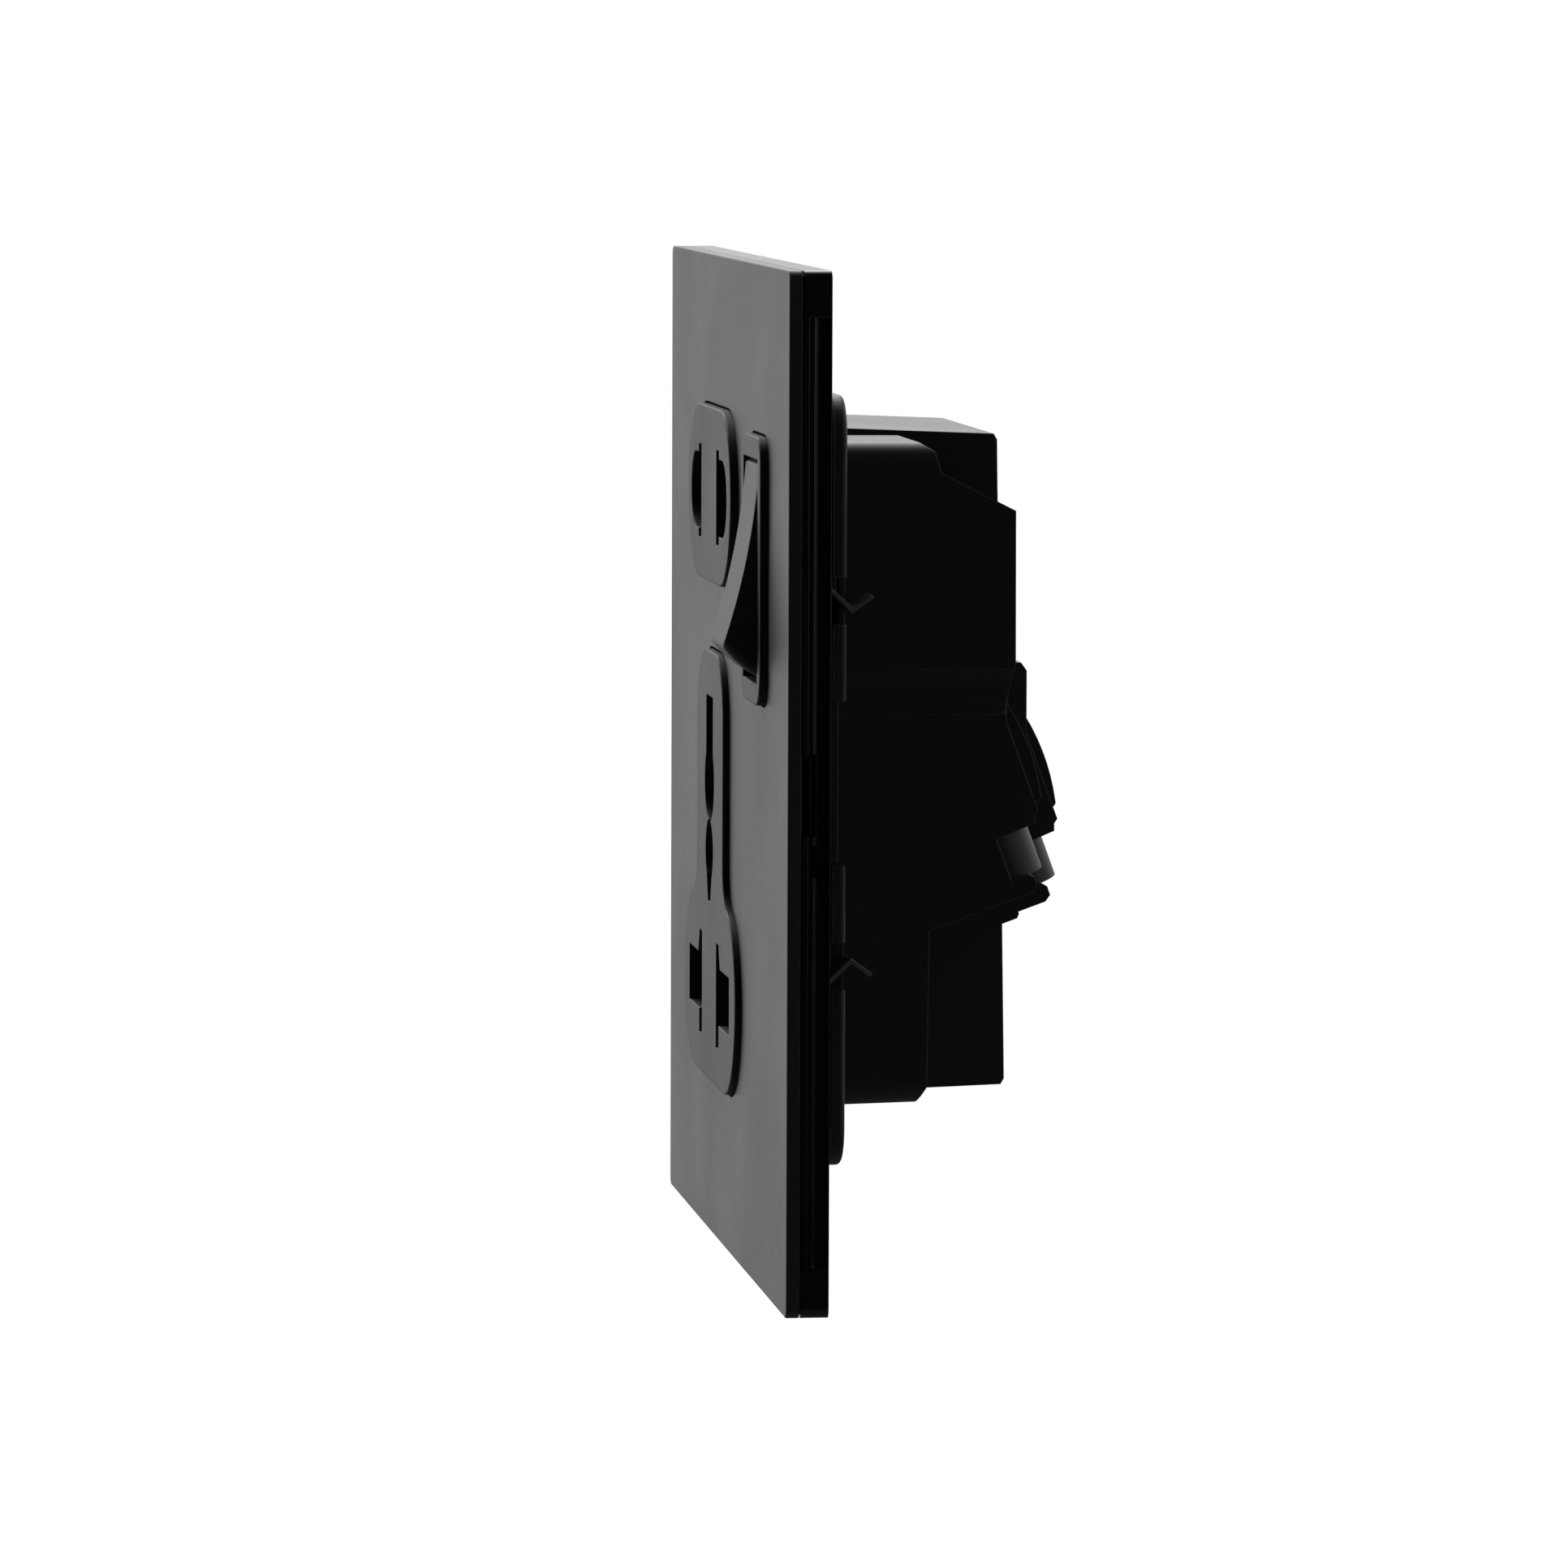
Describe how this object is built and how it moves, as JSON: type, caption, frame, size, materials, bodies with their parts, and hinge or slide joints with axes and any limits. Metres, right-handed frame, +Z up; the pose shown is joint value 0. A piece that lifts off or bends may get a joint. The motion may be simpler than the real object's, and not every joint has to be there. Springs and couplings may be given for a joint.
{
  "type": "duplex wall outlet with switch",
  "caption": "Square wall plate carrying mains outlets and a rocker switch, with a stepped rear housing and angled screw terminals.",
  "frame": {"origin": "midway between the two wall-box screw slots, on the plate's back face, which lies on the wall", "axes": "+X to the right seen from the room, +Y into the wall, +Z up"},
  "size_m": [0.086, 0.0327, 0.086],
  "materials": {
    "clamp_brass": "satin",
    "contact_brass": "satin",
    "frame_plastic": "gloss",
    "housing_plastic": "semi-gloss",
    "inner_plastic": "satin",
    "insert_plastic": "satin",
    "panel_plastic": "fine matte texture",
    "rocker_plastic": "satin",
    "screw_steel": "zinc plated",
    "shutter_plastic": "satin",
    "spring_steel": "bright"
  },
  "bodies": {
    "outlet": {"contact_cover": "inner_plastic", "earth_contact": "contact_brass", "earth_terminal_clamp": "clamp_brass", "earth_terminal_screw": "screw_steel", "front_panel": "panel_plastic", "housing_screws": "screw_steel", "line_contact": "contact_brass", "line_terminal_clamp": "clamp_brass", "line_terminal_screw": "screw_steel", "lower_left_spring_clip": "spring_steel", "lower_right_spring_clip": "spring_steel", "mounting_frame": "frame_plastic", "neutral_contact": "contact_brass", "neutral_terminal_clamp": "clamp_brass", "neutral_terminal_screw": "screw_steel", "rear_housing": "housing_plastic", "switch_bezel": "insert_plastic", "switch_feed_contact": "contact_brass", "switch_feed_terminal_clamp": "clamp_brass", "switch_feed_terminal_screw": "screw_steel", "switch_fixed_contact": "contact_brass", "switched_line_terminal_clamp": "clamp_brass", "switched_line_terminal_screw": "screw_steel", "three_pin_insert": "insert_plastic", "three_pin_shutter_spring": "spring_steel", "two_pin_insert": "insert_plastic", "two_pin_shutter_spring": "spring_steel", "upper_left_spring_clip": "spring_steel", "upper_right_spring_clip": "spring_steel"},
    "two_pin_shutter": {"two_pin_shutter": "shutter_plastic"},
    "three_pin_shutter": {"three_pin_shutter": "shutter_plastic"},
    "rocker": {"rocker": "rocker_plastic", "switch_plunger": "inner_plastic", "switch_plunger_spring": "spring_steel"},
    "contact_lever": {"switch_contact_lever": "contact_brass"}
  },
  "joints": [
    {"name": "rocker_pivot", "type": "hinge", "parent": "outlet", "child": "rocker", "pos_m": [0.02305, 0.0009, 0.01755], "axis": [1, 0, 0], "range_deg": [0, 22.5]},
    {"name": "contact_lever_pivot", "type": "hinge", "parent": "outlet", "child": "contact_lever", "pos_m": [0.0195, 0.0106, 0.01755], "axis": [1, 0, 0], "range_deg": [-16, 0]},
    {"name": "two_pin_shutter_slide", "type": "slide", "parent": "outlet", "child": "two_pin_shutter", "axis": [0, 0, -1], "range_m": [0, 0.0076], "stiffness_N_per_m": 40, "springref_m": -0.01, "deforming": ["two_pin_shutter_spring"]},
    {"name": "three_pin_shutter_slide", "type": "slide", "parent": "outlet", "child": "three_pin_shutter", "axis": [0, 0, 1], "range_m": [0, 0.0076], "stiffness_N_per_m": 40, "springref_m": -0.01, "deforming": ["three_pin_shutter_spring"]}
  ],
  "couplings": [
    {"joint": "contact_lever_pivot", "follows": "rocker_pivot", "ratio": -0.7111}
  ]
}
